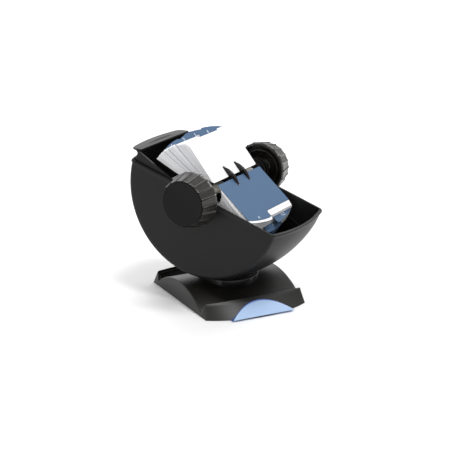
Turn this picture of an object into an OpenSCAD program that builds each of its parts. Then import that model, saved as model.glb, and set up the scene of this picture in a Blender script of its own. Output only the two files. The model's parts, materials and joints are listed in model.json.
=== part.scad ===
// Rotary card file: a swivelling tray with a rolling cover and a wheel of index cards.
// Millimetres, +Z up. The origin is on the swivel axis at desk level, and the base's front faces -Y.
// Pieces of the tray, cover and wheel are drawn in the tray's own frame (X along the spindle,
// Y to the back, Z up, origin on the spindle) and placed by in_tray().

/* [Pose] */
// Turn of the tray on its base, anticlockwise from above
tray_turn = 31.6; // [0:0.1:60]
// Height of the spindle above the desk
spindle_h = 144.8; // [140:0.1:170]

/* [Cards] */
// Width of a card
card_w = 101.6; // [80:0.1:106]
// Height of a card
card_h = 57.15; // [48:0.05:62]
// Height of the arch that the index tabs make above their cards
tab_h = 9; // [4:0.5:10]
// Thickness of an index guide
guide_t = 0.9; // [0.5:0.1:1.2]
// Distance of each rail from the middle of a card
rail_x = 13.2; // [10:0.1:20]
// Radius of a rail's centre line
rail_r = 22.6; // [20:0.1:26]
// Radius of the rail's wire
wire_r = 1.9; // [1.2:0.1:2.2]
// Width of the slot that a rail runs in
slot_w = 5.4; // [4.8:0.1:6.4]

/* [Tray] */
// Half width of the tray over its side walls
tray_hw = 61.9; // [58:0.1:66]
// Radius of the tray at its side walls
tray_r = 105.9; // [100:0.1:112]
// Outward bow of the curved wall at mid width
bow = 8; // [4:0.5:9]
// Thickness of the tray's walls
tray_wall = 2.4; // [1.8:0.1:2.6]
// How far the rim bead stands out of the wall
bead = 0.9; // [0.5:0.1:1.5]
// Height of the rim bead
bead_h = 3; // [2:0.5:5]
// Slope of the rim, back edge up
rim_slope = 17.7; // [10:0.1:25]
// Depth of the rim plane below the spindle
rim_drop = 1.95; // [0:0.05:6]

/* [Cover] */
// Gap between the rolling cover and the tray
cover_gap = 0.8; // [0.5:0.1:1.2]
// Thickness of the cover
cover_wall = 1.8; // [1.2:0.1:2.2]
// Angle of the cover's leading edge above the back horizontal
cover_lead = 23; // [22:0.5:35]
// Angle of its trailing edge below the front horizontal
cover_trail = 24; // [22:0.5:35]
// Radius that the ends of the lip reach
lip_r = 114.5; // [113:0.5:118]
// Half length of the lip
lip_hw = 52; // [40:0.5:55]

/* [Knobs] */
// Distance of a knob's face from the side of the tray
knob_reach = 42.6; // [38:0.1:48]
// Length of a knob
knob_len = 26; // [20:0.5:30]
// Radius of a knob's face
knob_face_r = 29.5; // [24:0.1:34]
// Radius of a knob at its skirt
knob_skirt_r = 34.6; // [30:0.1:40]
// Number of grip flutes
knob_flutes = 20; // [12:1:30]
// Wall of a knob
knob_wall = 2.6; // [2:0.1:4]
// Radius of the spindle
spindle_r = 4; // [3:0.1:5]

/* [Base] */
// Half width of the base
base_hw = 69; // [60:0.5:80]
// Distance of the base's front corners from the swivel axis
base_front = 77; // [68:0.5:90]
// Distance of its back corners from the swivel axis
base_back = 76.7; // [70:0.5:90]
// Bow of the front and back edges
base_bow = 19; // [10:0.5:25]
// Height of the lips along the front and back edges
lip_h = 18; // [14:0.5:20]
// Height of the arch under the tray
arch_h = 26.6; // [24:0.1:29]
// Radius of the arch
arch_r = 107; // [100:1:120]
// Thickness of the base shell
base_wall = 2.6; // [2:0.1:3]
// Radius of the swivel collar
collar_r = 39; // [34:0.5:42]
// Radius of the swivel spigot
spigot_r = 9; // [7:0.5:12]

/* [Fits] */
// Radial clearance of a running fit
run_fit = 0.05; // [0.02:0.01:0.08]
// Gap between pieces that move past each other
gap = 0.4; // [0.3:0.1:0.6]

/* [Hidden] */
$fn = 96;
e = 0.01;
big = 400;

// wheel
GUIDES = 24;
REAR_GUIDES = 8;                       // guides B to the last one of the rear fan
slot_r = rail_r + wire_r + 0.35;       // the slots clear the rails to this radius
wheel_hub_r = 9;
rail_web = 2;
rail_hole_r = 3.2;
hub_half = 2.2;                        // half length of a rail's hub

// leaves: [angle of the rail crossing, direction of the leaf, length below the rail]
open_back = [-8.4, 40.2, 11.2];        // the card that stands open
fan_first = [-5.4, 41.4, 10.6];
fan_last = [66.7, 66.7, 1.0];
low_first = [86, 86, 1.0];
low_bend = [190, 190, 1.0];
low_last = [284, 227, 1.6];
open_page = [288, 229.3, 9.1];         // guide A, in front of the lower cards
front_card_t = 0.6;

// cover and tray
cover_r = tray_r - tray_wall - cover_gap;
cover_hw = tray_hw - tray_wall - gap;
cheek_t = 2;
bush_r = 8;
bush_flange_r = 11;
bush_flange_t = 2;
ear_r = 15;
bush_in = cover_hw - cheek_t - 1.2;    // inner end of a bush
bush_out = tray_hw + bush_flange_t;
tray_chamfer = 2.5;
cover_lip_t = 1.9;
cover_lip_drop = 0.6;                  // the lip's top lies this far below the cover's leading edge
cheek_slope = 30.6;                    // slope of a cheek's top edge
cheek_front = 34.5;                    // angle of its front edge below the front horizontal
cheek_low = 13.5;                      // how far below the spindle the top edge's line passes
tray_floor_r = tray_r - tray_wall + bow;

// knob
knob_face = tray_hw + knob_reach;
knob_back = knob_face - knob_len;
skirt_x = knob_back + 2.3;
knob_hub_r = 9;
knob_web_x = knob_face - 5;            // inner side of the knob's face wall
hub_back = knob_back + 2;
cap_r = knob_face_r - 4;
cap_t = 1.6;
flute_r = 9;
flute_deep = 1.3;

// clutch, in the right knob's hollow
race_t = 2.6;
race_r = 16;
ball_r = 2.4;
ball_pitch_r = 11;
race_x = bush_out + race_t;
plate_x = race_x + 2 * ball_r + 0.1;
plate_t = 2;
spring_x = plate_x + plate_t;

// base
pad_t = 1;
plate_h = 1.6;
shell_z = 0.6;
lip_in = 8;                            // setback of a lip's top edge from its corner
lip_top_bow = 6;
lip_root = 26;                         // width of a lip at its foot, under the arch
lip_taper = 3;                         // how much shorter the lip's top edge is at each end
trough = 2;
collar_h = 2.6;                        // height of the collar above the arch
washer_t = 1;
collar_top = arch_h + collar_h;
neck_z = collar_top + washer_t + gap;
neck_h = spindle_h - tray_r - bow - neck_z + 11.7;    // the neck's flare meets the curve of the tray
boss_r = 5;
screw_r = 1.5;
base_screw_xy = [[-54, -52], [54, -52], [-54, 54], [54, 54]];
tray_screw_r = 24;
badge_hw = 42;
badge_h = 16.2;
badge_proud = 2;
badge_deep = 14;
pivot_top = neck_z - 0.5;              // depth of the pivot screw's hole
pivot_r = 2;
pivot_washer_t = 1.6;
pivot_washer_r = spigot_r + 6;
shell_drop = 1;                        // how much further the arch's hollow is lowered than its wall
pivot_washer_z = arch_h - arch_r - shell_drop - gap
    + sqrt(pow(arch_r - base_wall, 2) - pow(pivot_washer_r, 2));
head_h = 1.4;                          // height and radius of a countersunk head
head_r = 3;

function mix(a, b, t) = a + (b - a) * t;
function mix3(a, b, t) = [for (i = [0:2]) mix(a[i], b[i], t)];
function along(phi) = [sin(phi), cos(phi)];    // unit vector in (Y, Z), phi from up towards the back
// foot of a leaf: back along its direction from where it crosses the rail
function foot(leaf) = rail_r * along(leaf[0]) - leaf[2] * along(leaf[1]);
function tip(leaf) = foot(leaf) + card_h * along(leaf[1]);
function fan_leaf(t) = mix3(fan_first, fan_last, t);
function low_leaf(t) = t < 0.5 ? mix3(low_first, low_bend, 2 * t) : mix3(low_bend, low_last, 2 * t - 1);
// guide 0 is the open page; the next REAR_GUIDES stand in the rear fan; the rest lie below
function guide_leaf(i) =
    i == 0 ? open_page
    : i <= REAR_GUIDES ? fan_leaf((i - 0.35) / REAR_GUIDES)
    : low_leaf((i - REAR_GUIDES - 0.5) / (GUIDES - 1 - REAR_GUIDES));
// the tabs take turns at the left, middle and right of the guides
TAB_SPANS = [[0, 0.45], [0.38, 0.76], [0.56, 0.97]];
function tab_span(i) = TAB_SPANS[i % 3] * card_w;

GUIDE_NAMES = [for (i = [0:GUIDES - 1]) str("index_guide_", i + 1)];

// ---- placing -----------------------------------------------------------------------------
module in_tray() { rotate([0, 0, tray_turn]) translate([0, 0, spindle_h]) children(); }
// turns a shape drawn about Z so that it lies about the spindle, heights becoming X
module about_x() { rotate([0, 90, 0]) children(); }
// extrudes an outline drawn in (Y, Z) from x0 to x1
module across(x0, x1) { translate([x0, 0, 0]) rotate([90, 0, 90]) linear_extrude(x1 - x0) children(); }
module tube_x(x0, x1, r, bore) { translate([x0, 0, 0]) about_x() tube(x1 - x0, r, bore); }
module rod_x(x0, x1, r) { translate([x0, 0, 0]) about_x() cylinder(h = x1 - x0, r = r); }
module tube(h, r, bore) {
    difference() {
        cylinder(h = h, r = r);
        translate([0, 0, -1]) cylinder(h = h + 2, r = bore);
    }
}

// ---- base --------------------------------------------------------------------------------
// plan of one bowed end: from the line at `root` to an arc through the corners
module end_plan(hw, corner, bulge, root) {
    arc_r = (hw * hw + bulge * bulge) / (2 * bulge);
    intersection() {
        translate([0, corner + bulge - arc_r]) circle(r = arc_r, $fn = 128);
        translate([-hw, root]) square([2 * hw, big]);
    }
}
// one lip: its foot follows the base's edge and its top edge is set back and straighter
module lip_body(corner) {
    hull() {
        translate([0, 0, shell_z]) linear_extrude(e) end_plan(base_hw, corner, base_bow, corner - lip_root);
        translate([0, 0, lip_h])
            linear_extrude(e)
                end_plan(base_hw - lip_taper, corner - lip_in, lip_top_bow, corner - lip_in - 1);
    }
}
// the hollow inside a lip, up to half its height
module lip_hollow(corner) {
    hw = base_hw - base_wall;
    mid_bow = (base_bow + lip_top_bow) / 2;
    wall = 1.5 * base_wall;
    hull() {
        linear_extrude(e) end_plan(hw, corner - base_wall, base_bow, corner - lip_root + 2 * base_wall);
        translate([0, 0, lip_h / 2]) linear_extrude(e) end_plan(hw - lip_taper / 2,
            corner - lip_in / 2 - wall, mid_bow, corner - (lip_root + lip_in) / 2 + wall);
    }
}
module arch_body(inset) {
    intersection() {
        translate([-big / 2, 0, arch_h - arch_r])
            rotate([0, 90, 0]) cylinder(h = big, r = arch_r - inset, $fn = 192);
        translate([inset - base_hw, -base_front + inset + trough, shell_z])
            cube([2 * (base_hw - inset), base_front + base_back - 2 * (inset + trough), arch_h]);
    }
}
module base_body() {
    arch_body(0);
    lip_body(base_back);
    rotate([0, 0, 180]) lip_body(base_front);
}
module base_hollow() {
    translate([0, 0, -shell_drop]) arch_body(base_wall);
    lip_hollow(base_back);
    rotate([0, 0, 180]) lip_hollow(base_front);
}
module base_shell() {
    color("#262626") {
        difference() {
            base_body();
            difference() {
                base_hollow();
                for (p = base_screw_xy) translate([p[0], p[1], 0]) cylinder(h = arch_h, r = boss_r);
            }
            translate([0, 0, -1]) cylinder(h = arch_h + 2, r = spigot_r + run_fit);
            for (p = base_screw_xy) translate([p[0], p[1], -1]) cylinder(h = 9, r = screw_r);
            translate([0, 0, -e]) base_floor(base_wall - 0.1, pad_t + plate_h + e);
        }
    }
}
// outline of the bottom of the base, `inset` inside its edge, as a slab
module base_floor(inset, h) {
    hw = base_hw - inset;
    linear_extrude(h) {
        translate([-hw, 0]) square([2 * hw, base_back - lip_root]);
        translate([-hw, -base_front + lip_root]) square([2 * hw, base_front - lip_root]);
        end_plan(hw, base_back - inset, base_bow, base_back - lip_root - e);
        rotate(180) end_plan(hw, base_front - inset, base_bow, base_front - lip_root - e);
    }
}
module base_plate() {
    color("#8a8d90") difference() {
        translate([0, 0, pad_t]) base_floor(base_wall + 0.1, plate_h);
        for (p = base_screw_xy) translate([p[0], p[1], pad_t]) screw_up(9);
    }
}
// countersunk screw with its flat head down
module screw_up(h) { cylinder(h = head_h, r1 = head_r, r2 = screw_r); cylinder(h = h, r = screw_r); }
module base_pad() { color("#1c1c1c") base_floor(base_wall + 8, pad_t); }
module base_screws() {
    color("silver") for (p = base_screw_xy) translate([p[0], p[1], pad_t]) screw_up(6.9);
}
module badge_outline(hw, h) {
    arc_r = (hw * hw + h * h) / (2 * h);
    intersection() {
        translate([0, h - arc_r]) circle(r = arc_r, $fn = 128);
        translate([-hw, 0]) square([2 * hw, h]);
    }
}
// plate on the front slope; its back follows the bowed lip
module badge_plate() {
    tilt = atan2(lip_h, base_bow + lip_in - lip_top_bow);
    color("#b9d2f0") difference() {
        translate([0, -base_front - base_bow, shell_z]) rotate([tilt, 0, 0])
            translate([0, 0, badge_proud - badge_deep]) linear_extrude(badge_deep)
                badge_outline(badge_hw, badge_h / sin(tilt));
        rotate([0, 0, 180]) lip_body(base_front);
        translate([-big / 2, -base_front + lip_in / 2, -1]) cube(big);
        translate([-big / 2, -big / 2, -big + shell_z]) cube(big);
    }
}
module swivel_collar() {
    color("#1a1a1a") difference() {
        translate([0, 0, arch_h - 9]) union() {
            cylinder(h = collar_h + 9 - 1, r = collar_r);
            translate([0, 0, collar_h + 8]) cylinder(h = 1, r1 = collar_r, r2 = collar_r - 1);
        }
        translate([-big / 2, 0, arch_h - arch_r]) rotate([0, 90, 0]) cylinder(h = big, r = arch_r, $fn = 192);
        translate([0, 0, arch_h - 10]) cylinder(h = 30, r = spigot_r + gap);
    }
}
module swivel_washer() {
    color("#d8d4c6") translate([0, 0, collar_top]) tube(washer_t, collar_r - 5, spigot_r + gap);
}

// ---- tray --------------------------------------------------------------------------------
// solid barrel about the spindle: radius r at its flat sides, bowed outward at mid width
module barrel(hw, r, c) {
    arc_r = (hw * hw + bow * bow) / (2 * bow);
    about_x() rotate_extrude($fn = 192) intersection() {
        translate([r + bow - arc_r, 0]) circle(r = arc_r, $fn = 720);
        polygon([[0, -hw], [r - c, -hw], [r, -hw + c], [big, -hw + c],
            [big, hw - c], [r, hw - c], [r - c, hw], [0, hw]]);
    }
}
// everything below the rim plane raised by h
module below_rim(h) {
    rotate([rim_slope, 0, 0]) translate([-big / 2, -big / 2, -big - rim_drop + h]) cube(big);
}
module tray_shell() {
    inner_r = tray_r - tray_wall;
    in_tray() color("#2b2b2b") difference() {
        union() {
            intersection() {
                barrel(tray_hw, tray_r, tray_chamfer);
                below_rim(0);
            }
            intersection() {
                barrel(tray_hw + bead, tray_r + bead, tray_chamfer);
                below_rim(0);
                difference() {
                    below_rim(e);
                    below_rim(-bead_h);
                }
            }
            for (s = [-1, 1]) translate([s * (tray_hw - tray_wall / 2), 0, 0])
                about_x() cylinder(h = tray_wall, r = ear_r, center = true);
        }
        barrel(tray_hw - tray_wall, inner_r, 1.5);
        rod_x(-big / 2, big / 2, bush_r);
        for (s = [0, 1]) mirror([s, 0, 0]) rod_x(tray_hw, big, bush_flange_r + gap);
        neck_screw_places() translate([0, 0, -40]) cylinder(h = 80, r = screw_r);
        neck_screw_places() neck_screw_head();
    }
}
// the neck's screws, at the height of the tray's floor, in the tray's frame
module neck_screw_places() {
    for (a = [45:90:315]) rotate([0, 0, a]) translate([tray_screw_r, 0, floor_z()]) children();
}
function floor_z() = -sqrt(pow(tray_floor_r - 1.2, 2) - pow(tray_screw_r * sin(45), 2)) - 0.8;
module neck_screw_head() {
    translate([0, 0, -head_h]) cylinder(h = head_h, r1 = screw_r, r2 = head_r);
    cylinder(h = 6, r = head_r);
}
module tray_neck() {
    rotate([0, 0, tray_turn]) color("#2b2b2b") difference() {
        union() {
            translate([0, 0, neck_z]) cylinder(h = neck_h, r1 = collar_r - 2, r2 = collar_r + 4);
            translate([0, 0, pivot_washer_z])
                cylinder(h = neck_z - pivot_washer_z + 2, r = spigot_r);
        }
        translate([0, 0, spindle_h]) {
            barrel(tray_hw, tray_r, tray_chamfer);
            neck_screw_places() translate([0, 0, -40]) cylinder(h = 80, r = screw_r);
        }
        cylinder(h = pivot_top, r = pivot_r);
    }
}
module neck_screws() {
    in_tray() color("silver") neck_screw_places() {
        translate([0, 0, -head_h]) cylinder(h = head_h, r1 = screw_r, r2 = head_r);
        translate([0, 0, -4]) cylinder(h = 3, r = screw_r);
    }
}
module pivot_washer() {
    color("#8a8d90") translate([0, 0, pivot_washer_z - pivot_washer_t])
        tube(pivot_washer_t, pivot_washer_r, pivot_r);
}
module pivot_screw() {
    color("silver") {
        translate([0, 0, pivot_washer_z - 4]) cylinder(h = 2.4, r = 4.5);
        translate([0, 0, pivot_washer_z - 2]) cylinder(h = pivot_top - pivot_washer_z + 2, r = pivot_r);
    }
}
// flanged bush for the spindle, pressed into a tray ear; the cover's cheek turns on its nose
module bush() {
    tube_x(bush_in, bush_out, bush_r, spindle_r + run_fit);
    tube_x(tray_hw, bush_out, bush_flange_r, bush_r - 0.5);
}
module bush_left() { in_tray() color("#d8d4c6") mirror([1, 0, 0]) bush(); }
module bush_right() { in_tray() color("#d8d4c6") bush(); }
module clutch_race() {
    in_tray() color("#8a8d90") difference() {
        tube_x(bush_out, race_x, race_r, spindle_r + gap);
        for (a = [0:30:330]) rotate([a, 0, 0])
            translate([race_x + ball_r - 0.35, ball_pitch_r, 0]) sphere(r = ball_r, $fn = 32);
    }
}

// ---- rolling cover -----------------------------------------------------------------------
module cover_shell() {
    lip_z = (cover_r + bow) * sin(cover_lead);
    in_tray() color("#2b2b2b") {
        difference() {
            union() {
                barrel(cover_hw, cover_r, 1.5);
                intersection() {
                    translate([-lip_hw, 0, lip_z - cover_lip_t - cover_lip_drop])
                        cube([2 * lip_hw, big, cover_lip_t]);
                    barrel(lip_hw, lip_r, 0.1);
                }
            }
            barrel(cover_hw - cheek_t, cover_r - cover_wall, 1);
            // flat side walls belong to the cheeks
            for (s = [-1, 1]) translate([s * (cover_hw - cheek_t / 2), 0, 0])
                about_x() cylinder(h = cheek_t + e, r = cover_r - cover_wall, center = true, $fn = 192);
            // above the leading edge at the back, and above the trailing edge at the front
            across(-big / 2, big / 2) polygon([[0, 0], big * [cos(cover_lead), sin(cover_lead)], [big, big],
                [-big, big], [-big, 0], big * [-cos(cover_trail), -sin(cover_trail)]]);
        }
    }
}
module cover_cheek() {
    cheek_r = cover_r - cover_wall;
    difference() {
        union() {
            intersection() {
                rod_x(cover_hw - cheek_t, cover_hw, cheek_r, $fn = 192);
                across(0, big) polygon([[0, -cheek_low], [big, big * tan(cheek_slope) - cheek_low],
                    [big, -big], [-big, -big], [-big, -big * tan(cheek_front)]]);
            }
            rod_x(cover_hw - cheek_t, cover_hw, ear_r - 1);
        }
        rod_x(0, big, bush_r + run_fit);
    }
}
module cover_cheek_left() { in_tray() color("#2b2b2b") mirror([1, 0, 0]) cover_cheek(); }
module cover_cheek_right() { in_tray() color("#2b2b2b") cover_cheek(); }

// ---- wheel -------------------------------------------------------------------------------
module spindle() { in_tray() color("silver") rod_x(-knob_web_x, knob_web_x, spindle_r); }
module rail() {
    rotate_extrude($fn = 128) translate([rail_r, 0]) circle(r = wire_r, $fn = 32);
    difference() {
        translate([0, 0, -hub_half]) cylinder(h = 2 * hub_half, r = wheel_hub_r);
        translate([0, 0, -big / 2]) cylinder(h = big, r = spindle_r);
    }
    difference() {
        translate([0, 0, -rail_web / 2]) cylinder(h = rail_web, r = rail_r);
        translate([0, 0, -big / 2]) cylinder(h = big, r = wheel_hub_r - 1);
        for (a = [0:60:300]) rotate([0, 0, a])
            translate([(rail_r + wheel_hub_r) / 2, 0, -big / 2]) cylinder(h = big, r = rail_hole_r);
    }
}
module rail_left() { in_tray() color("#1a1a1a") translate([-rail_x, 0, 0]) about_x() rail(); }
module rail_right() { in_tray() color("#1a1a1a") translate([rail_x, 0, 0]) about_x() rail(); }
module hub_tube() {
    in_tray() color("#d8d4c6") tube_x(hub_half - rail_x, rail_x - hub_half, spindle_r + 2.5, spindle_r);
}
module spacer_tubes() {
    in_tray() color("#d8d4c6") for (s = [0, 1]) mirror([s, 0, 0])
        tube_x(rail_x + hub_half, bush_in - gap, spindle_r + 2.5, spindle_r);
}
module knob() {
    difference() {
        rotate_extrude($fn = 128) polygon([[0, knob_web_x], [knob_face_r - knob_wall - 1, knob_web_x],
            [knob_skirt_r - knob_wall, knob_back], [knob_skirt_r - 1, knob_back], [knob_skirt_r, skirt_x],
            [knob_face_r, knob_face - 1.2], [knob_face_r - 1.2, knob_face], [0, knob_face]]);
        translate([0, 0, knob_face - cap_t]) cylinder(h = 9, r = cap_r);
        cylinder(h = big, r = screw_r + 0.5);
        for (i = [1:knob_flutes]) rotate([0, 0, i * 360 / knob_flutes]) flute();
    }
    translate([0, 0, hub_back]) tube(knob_web_x - hub_back + e, knob_hub_r, spindle_r);
}
module flute() {
    slope = atan2(knob_skirt_r - knob_face_r, knob_face - skirt_x);
    translate([(knob_skirt_r + knob_face_r) / 2 + flute_r - flute_deep, 0, (skirt_x + knob_face) / 2])
        rotate([0, -slope, 0]) cylinder(h = knob_len * 2, r = flute_r, center = true, $fn = 48);
}
module knob_left() { in_tray() color("#33312e") mirror([1, 0, 0]) about_x() knob(); }
module knob_right() { in_tray() color("#33312e") about_x() knob(); }
module knob_caps() {
    in_tray() color("#2b2a28") for (s = [0, 1]) mirror([s, 0, 0])
        rod_x(knob_face - cap_t, knob_face - 0.3, cap_r - 0.05);
}
module knob_screws() {
    in_tray() color("silver") for (s = [0, 1]) mirror([s, 0, 0])
        rod_x(knob_web_x, knob_face - cap_t, screw_r + 0.5);
}
module clutch_balls() {
    in_tray() color("silver") for (a = [0:120:240]) rotate([a, 0, 0])
        translate([race_x + ball_r + 0.02, ball_pitch_r, 0]) sphere(r = ball_r, $fn = 32);
}
module clutch_plate() {
    in_tray() color("#8a8d90") difference() {
        tube_x(plate_x - 1.2, plate_x + plate_t, race_r, spindle_r);
        for (a = [0:120:240]) rotate([a, 0, 0])
            translate([race_x + ball_r + 0.02, ball_pitch_r, 0]) sphere(r = ball_r, $fn = 32);
    }
}
// a pair of dished spring washers between the clutch plate and the knob's hub
module clutch_spring() {
    half = (hub_back - spring_x) / 2;
    t = min(0.6, abs(half) / 2);
    in_tray() color("silver") about_x() rotate_extrude() polygon([[spindle_r + 0.2, spring_x],
        [spindle_r + 0.2 + t, spring_x], [8.5, spring_x + half], [spindle_r + 0.2 + t, hub_back],
        [spindle_r + 0.2, hub_back], [8.5 - t, spring_x + half]]);
}
// collar on the spindle that takes up the play at the left
module stop_collar() { in_tray() color("#8a8d90") tube_x(-hub_back, -bush_out - gap, 7, spindle_r); }

// ---- cards and guides --------------------------------------------------------------------
module rail_slots() {
    for (s = [-1, 1]) translate([s * rail_x, 0, 0])
        about_x() cylinder(h = slot_w, r = slot_r, center = true, $fn = 128);
}
// a pack of cards between two leaves, with a little air beside each
module pack(a, b) {
    difference() {
        across(-card_w / 2, card_w / 2) polygon([foot(a), tip(a), tip(b), foot(b)]);
        rail_slots();
    }
}
// moves a leaf along the rail by a distance at its foot
function shifted(leaf, d) = [leaf[0] + d, leaf[1] + d * 0.35, leaf[2]];
module packs(leaves) {
    for (i = [0:len(leaves) - 2]) pack(shifted(leaves[i], 2), shifted(leaves[i + 1], -2));
}
module cards_rear() {
    in_tray() color("#efeff2") packs([for (i = [1:REAR_GUIDES]) guide_leaf(i)]);
}
module cards_lower() {
    in_tray() color("#efeff2")
        packs(concat([for (i = [REAR_GUIDES + 1:GUIDES - 1]) guide_leaf(i)], [low_last]));
}
// flat leaves in their own frame: foot on the origin line, rising along Y, width along X
module card_shape() { translate([-card_w / 2, 0]) square([card_w, card_h]); }
module guide_shape(span) {
    arc_r = (card_w * card_w / 4 + tab_h * tab_h) / (2 * tab_h);
    card_shape();
    intersection() {
        translate([0, card_h + tab_h - arc_r]) circle(r = arc_r, $fn = 192);
        translate([span[0] - card_w / 2, card_h / 2]) square([span[1] - span[0], card_h]);
    }
}
module leaf(place, t) {
    p = foot(place);
    translate([0, p[0], p[1]]) rotate([90 - place[1], 0, 0])
        translate([0, 0, -t / 2]) linear_extrude(t) children();
}
module index_guide(i) {
    in_tray() color("#5f76a0") difference() {
        leaf(guide_leaf(i), guide_t) guide_shape(tab_span(i));
        rail_slots();
    }
}
module front_card() {
    slot_deep = open_back[2] + wire_r + 1.2;
    in_tray() color("#f7f7f8") leaf(open_back, front_card_t) difference() {
        card_shape();
        for (s = [-1, 1]) translate([s * rail_x - slot_w / 2, -1]) square([slot_w, slot_deep + 1]);
    }
}

base_shell();
base_plate();
base_pad();
base_screws();
badge_plate();
swivel_collar();
swivel_washer();
tray_shell();
tray_neck();
neck_screws();
pivot_washer();
pivot_screw();
bush_left();
bush_right();
clutch_race();
cover_shell();
cover_cheek_left();
cover_cheek_right();
spindle();
rail_left();
rail_right();
hub_tube();
spacer_tubes();
knob_left();
knob_right();
knob_caps();
knob_screws();
clutch_balls();
clutch_plate();
clutch_spring();
stop_collar();
cards_rear();
cards_lower();
front_card();
for (i = [0:GUIDES - 1]) index_guide(i);
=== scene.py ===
"""Looks of a rotary card file: a wheel of cards in a swivelling tray with a rolling cover.

Shapes are worked out in millimetres, in one of two places: the base's own frame, which is the frame
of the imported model, or the tray's frame, with X along the spindle, Y to the back, Z up and its
origin on the spindle. Angles round the spindle are measured from straight up towards the back.
"""
import json
import math
import bmesh
import bpy
import numpy as np
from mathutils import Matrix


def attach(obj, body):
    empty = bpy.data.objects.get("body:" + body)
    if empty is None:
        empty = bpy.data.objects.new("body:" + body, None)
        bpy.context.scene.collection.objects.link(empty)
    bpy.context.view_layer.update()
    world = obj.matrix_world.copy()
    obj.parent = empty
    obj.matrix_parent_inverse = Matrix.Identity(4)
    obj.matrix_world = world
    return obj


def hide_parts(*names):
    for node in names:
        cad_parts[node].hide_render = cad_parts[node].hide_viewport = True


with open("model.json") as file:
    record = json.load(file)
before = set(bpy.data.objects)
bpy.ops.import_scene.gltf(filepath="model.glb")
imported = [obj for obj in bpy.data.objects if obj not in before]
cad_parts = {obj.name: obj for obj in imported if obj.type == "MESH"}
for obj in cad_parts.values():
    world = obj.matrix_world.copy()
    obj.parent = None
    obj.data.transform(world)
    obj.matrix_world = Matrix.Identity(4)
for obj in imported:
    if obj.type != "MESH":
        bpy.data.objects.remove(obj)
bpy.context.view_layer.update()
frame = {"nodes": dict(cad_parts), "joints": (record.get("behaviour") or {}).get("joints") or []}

MM = 0.001
RANDOM = np.random.default_rng(24)

# ---- sizes, as in the construction model --------------------------------------------------
SPIN = next(j for j in frame["joints"] if j["name"] == "wheel_spin")
SPINDLE = np.array(SPIN["pos_m"]) / MM
TRAY_X = np.array(SPIN["axis"])
TRAY_Z = np.array([0.0, 0.0, 1.0])
TRAY_AXES = np.array([TRAY_X, np.cross(TRAY_Z, TRAY_X), TRAY_Z])

CARD_W, CARD_H, TAB_H, GUIDE_W, TAB_ROUND = 101.6, 57.15, 9.0, 100.2, 3.5
CARD_T, GUIDE_T = 0.3, 0.5
RAIL_X, RAIL_R, WIRE_R, SLOT_W = 13.2, 22.6, 1.9, 5.2

TRAY_HW, TRAY_R, BOW, TRAY_WALL = 61.9, 105.9, 8.0, 2.4
BEAD, BEAD_H, RIM_SLOPE, RIM_DROP = 1.2, 3.2, 17.7, 1.95
TRAY_CORNER, TRAY_SAG = 5.5, 1.2
EAR_R, BUSH_R = 15.0, 8.0

COVER_HW, COVER_R, COVER_WALL = 59.1, 102.7, 1.8
COVER_LEAD, COVER_TRAIL = 67.0, 246.0
LIP_ROOT, LIP_REACH, LIP_BOW, LIP_Z, LIP_ROUND = 93.0, 107.5, 6.5, 42.6, 7.0

KNOB_FACE, KNOB_BACK, SKIRT_X = 104.5, 78.5, 80.8
KNOB_FACE_R, KNOB_SKIRT_R, KNOB_CAP_R, KNOB_HUB_R = 29.5, 34.6, 27.4, 9.0
SPINDLE_R, FLUTES = 4.0, 20

BASE_HW, BASE_FRONT, BASE_BACK, BASE_BOW = 69.0, 77.0, 76.7, 19.0
ARCH_R, ARCH_H, LIP_H, LIP_IN, LIP_TOP_BOW, LIP_TAPER = 107.0, 26.6, 18.0, 8.0, 6.0, 3.0
SHELL_Z, BASE_WALL = 0.6, 2.6
COLLAR_R, COLLAR_TOP, NECK_Z, SPIGOT_R = 39.0, 30.1, 30.6, 9.0

# a leaf is [angle of its rail crossing, direction of the leaf, length below the rail]
OPEN_CARD = np.array([-8.4, 40.2, 11.2])
FAN = np.array([[-5.4, 41.4, 10.6], [66.7, 66.7, 1.0]])
LOW = np.array([[86.0, 86.0, 1.0], [190.0, 190.0, 1.0], [284.0, 227.0, 1.6]])
PAGE = np.array([288.0, 229.3, 7.4])
# left end and corner radius of the white strip beside the open page's tab
STRIP_START, STRIP_ROUND = -2.5, 2.2
GUIDES, REAR_GUIDES = 24, 8
TAB_SPANS = ((0.0, 0.45), (0.38, 0.76), (0.56, 0.97))
LETTERS = ("A", "B", "C", "D", "E", "F", "G", "H", "I", "J", "K", "L", "M", "Mc", "N", "O", "P-Q", "R",
           "S", "T", "U-V", "W", "X", "Y-Z")
# height of the letters, their middle above the cards' edge, and how far they stand off the sheet
LETTER_H, LETTER_UP, INK_T = 5.4, 2.6, 0.03


# ---- shader maths ----------------------------------------------------------------------------
class Wire:
    """A number carried by a shader socket; arithmetic on it adds Math nodes."""

    def __init__(self, finish, socket):
        self.finish = finish
        self.socket = socket

    def math(self, operation, first, second=0.0):
        return self.finish.node("ShaderNodeMath", {"operation": operation}, {0: first, 1: second})

    def __add__(self, other):
        return self.math("ADD", self, other)

    __radd__ = __add__

    def __mul__(self, other):
        return self.math("MULTIPLY", self, other)

    __rmul__ = __mul__

    def __sub__(self, other):
        return self.math("SUBTRACT", self, other)

    def __rsub__(self, other):
        return self.math("SUBTRACT", other, self)


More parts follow.
